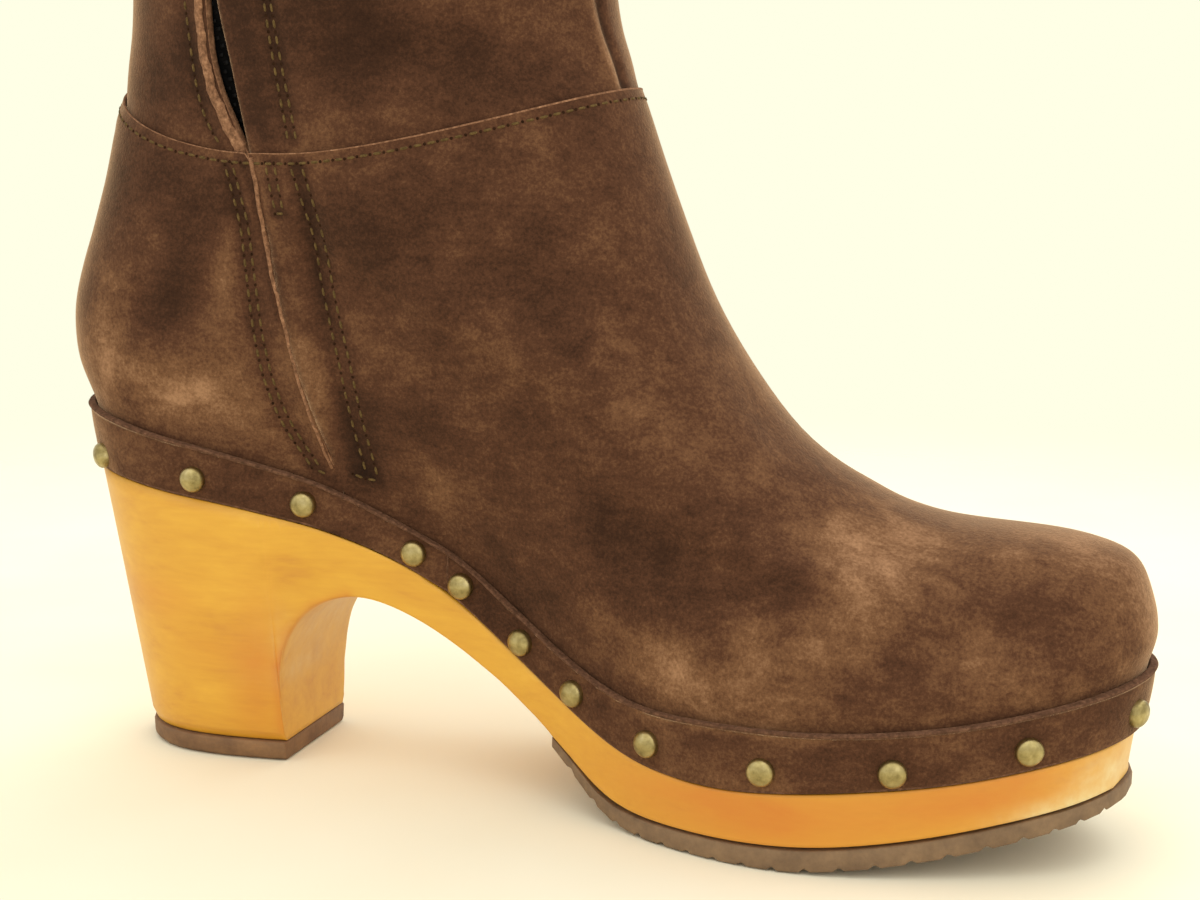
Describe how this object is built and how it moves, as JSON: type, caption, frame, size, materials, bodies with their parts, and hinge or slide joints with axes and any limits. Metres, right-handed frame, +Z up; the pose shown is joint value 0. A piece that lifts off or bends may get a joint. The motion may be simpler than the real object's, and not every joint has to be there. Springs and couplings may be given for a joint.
{
  "type": "heeled boot",
  "caption": "Ankle boot for the left foot: suede foot part and zipped shaft nailed through a studded band to a carved wooden platform sole with block heel and rubber treads.",
  "frame": {"origin": "on the floor under the middle of the boot's box", "axes": "+X from heel to toe, +Y to the outer side of the foot, +Z up from the floor"},
  "size_m": [0.2645, 0.0933, 0.2654],
  "materials": {
    "wood": "clear satin lacquer",
    "rubber": "matte",
    "insole_leather": "smooth",
    "suede": "napped suede",
    "zip_tape": "woven",
    "stud_brass": "antique, satin"
  },
  "bodies": {
    "root": {"wooden_sole": "wood", "forefoot_outsole": "rubber", "heel_top_lift": "rubber", "insole": "insole_leather", "foot_upper": "suede", "shaft": "suede", "welt_band": "suede", "zip": "zip_tape", "stud_01": "stud_brass", "stud_02": "stud_brass", "stud_03": "stud_brass", "stud_04": "stud_brass", "stud_05": "stud_brass", "stud_06": "stud_brass", "stud_07": "stud_brass", "stud_08": "stud_brass", "stud_09": "stud_brass", "stud_10": "stud_brass", "stud_11": "stud_brass", "stud_12": "stud_brass", "stud_13": "stud_brass", "stud_14": "stud_brass", "stud_15": "stud_brass", "stud_16": "stud_brass", "stud_17": "stud_brass", "stud_18": "stud_brass", "stud_19": "stud_brass", "stud_20": "stud_brass", "stud_21": "stud_brass", "stud_22": "stud_brass"}
  },
  "joints": []
}
